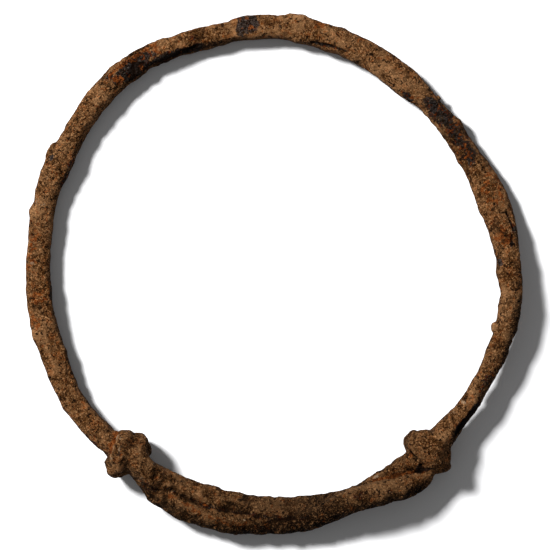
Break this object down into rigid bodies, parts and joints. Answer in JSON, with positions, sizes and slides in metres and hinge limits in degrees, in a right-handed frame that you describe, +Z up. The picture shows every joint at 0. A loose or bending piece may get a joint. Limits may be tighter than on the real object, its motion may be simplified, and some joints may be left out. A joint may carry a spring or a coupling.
{
  "type": "bracelet",
  "caption": "Old iron bracelet made from one thin rod bent to a hoop, each end run past the other and wound about it in a knot, rusted solid.",
  "frame": {"origin": "centre of the outline, on the surface that the bracelet lies on", "axes": "+Z up, through the hand hole; +Y from the knots to the far side of the hoop; +X to the right seen from above with the knots nearest"},
  "size_m": [0.0742, 0.078, 0.0076],
  "materials": {
    "rusted_iron": "heavily corroded wrought iron, brown granular rust with tan and orange patches and black pits, matt"
  },
  "bodies": {
    "root": {"bracelet": "rusted_iron"}
  },
  "joints": []
}
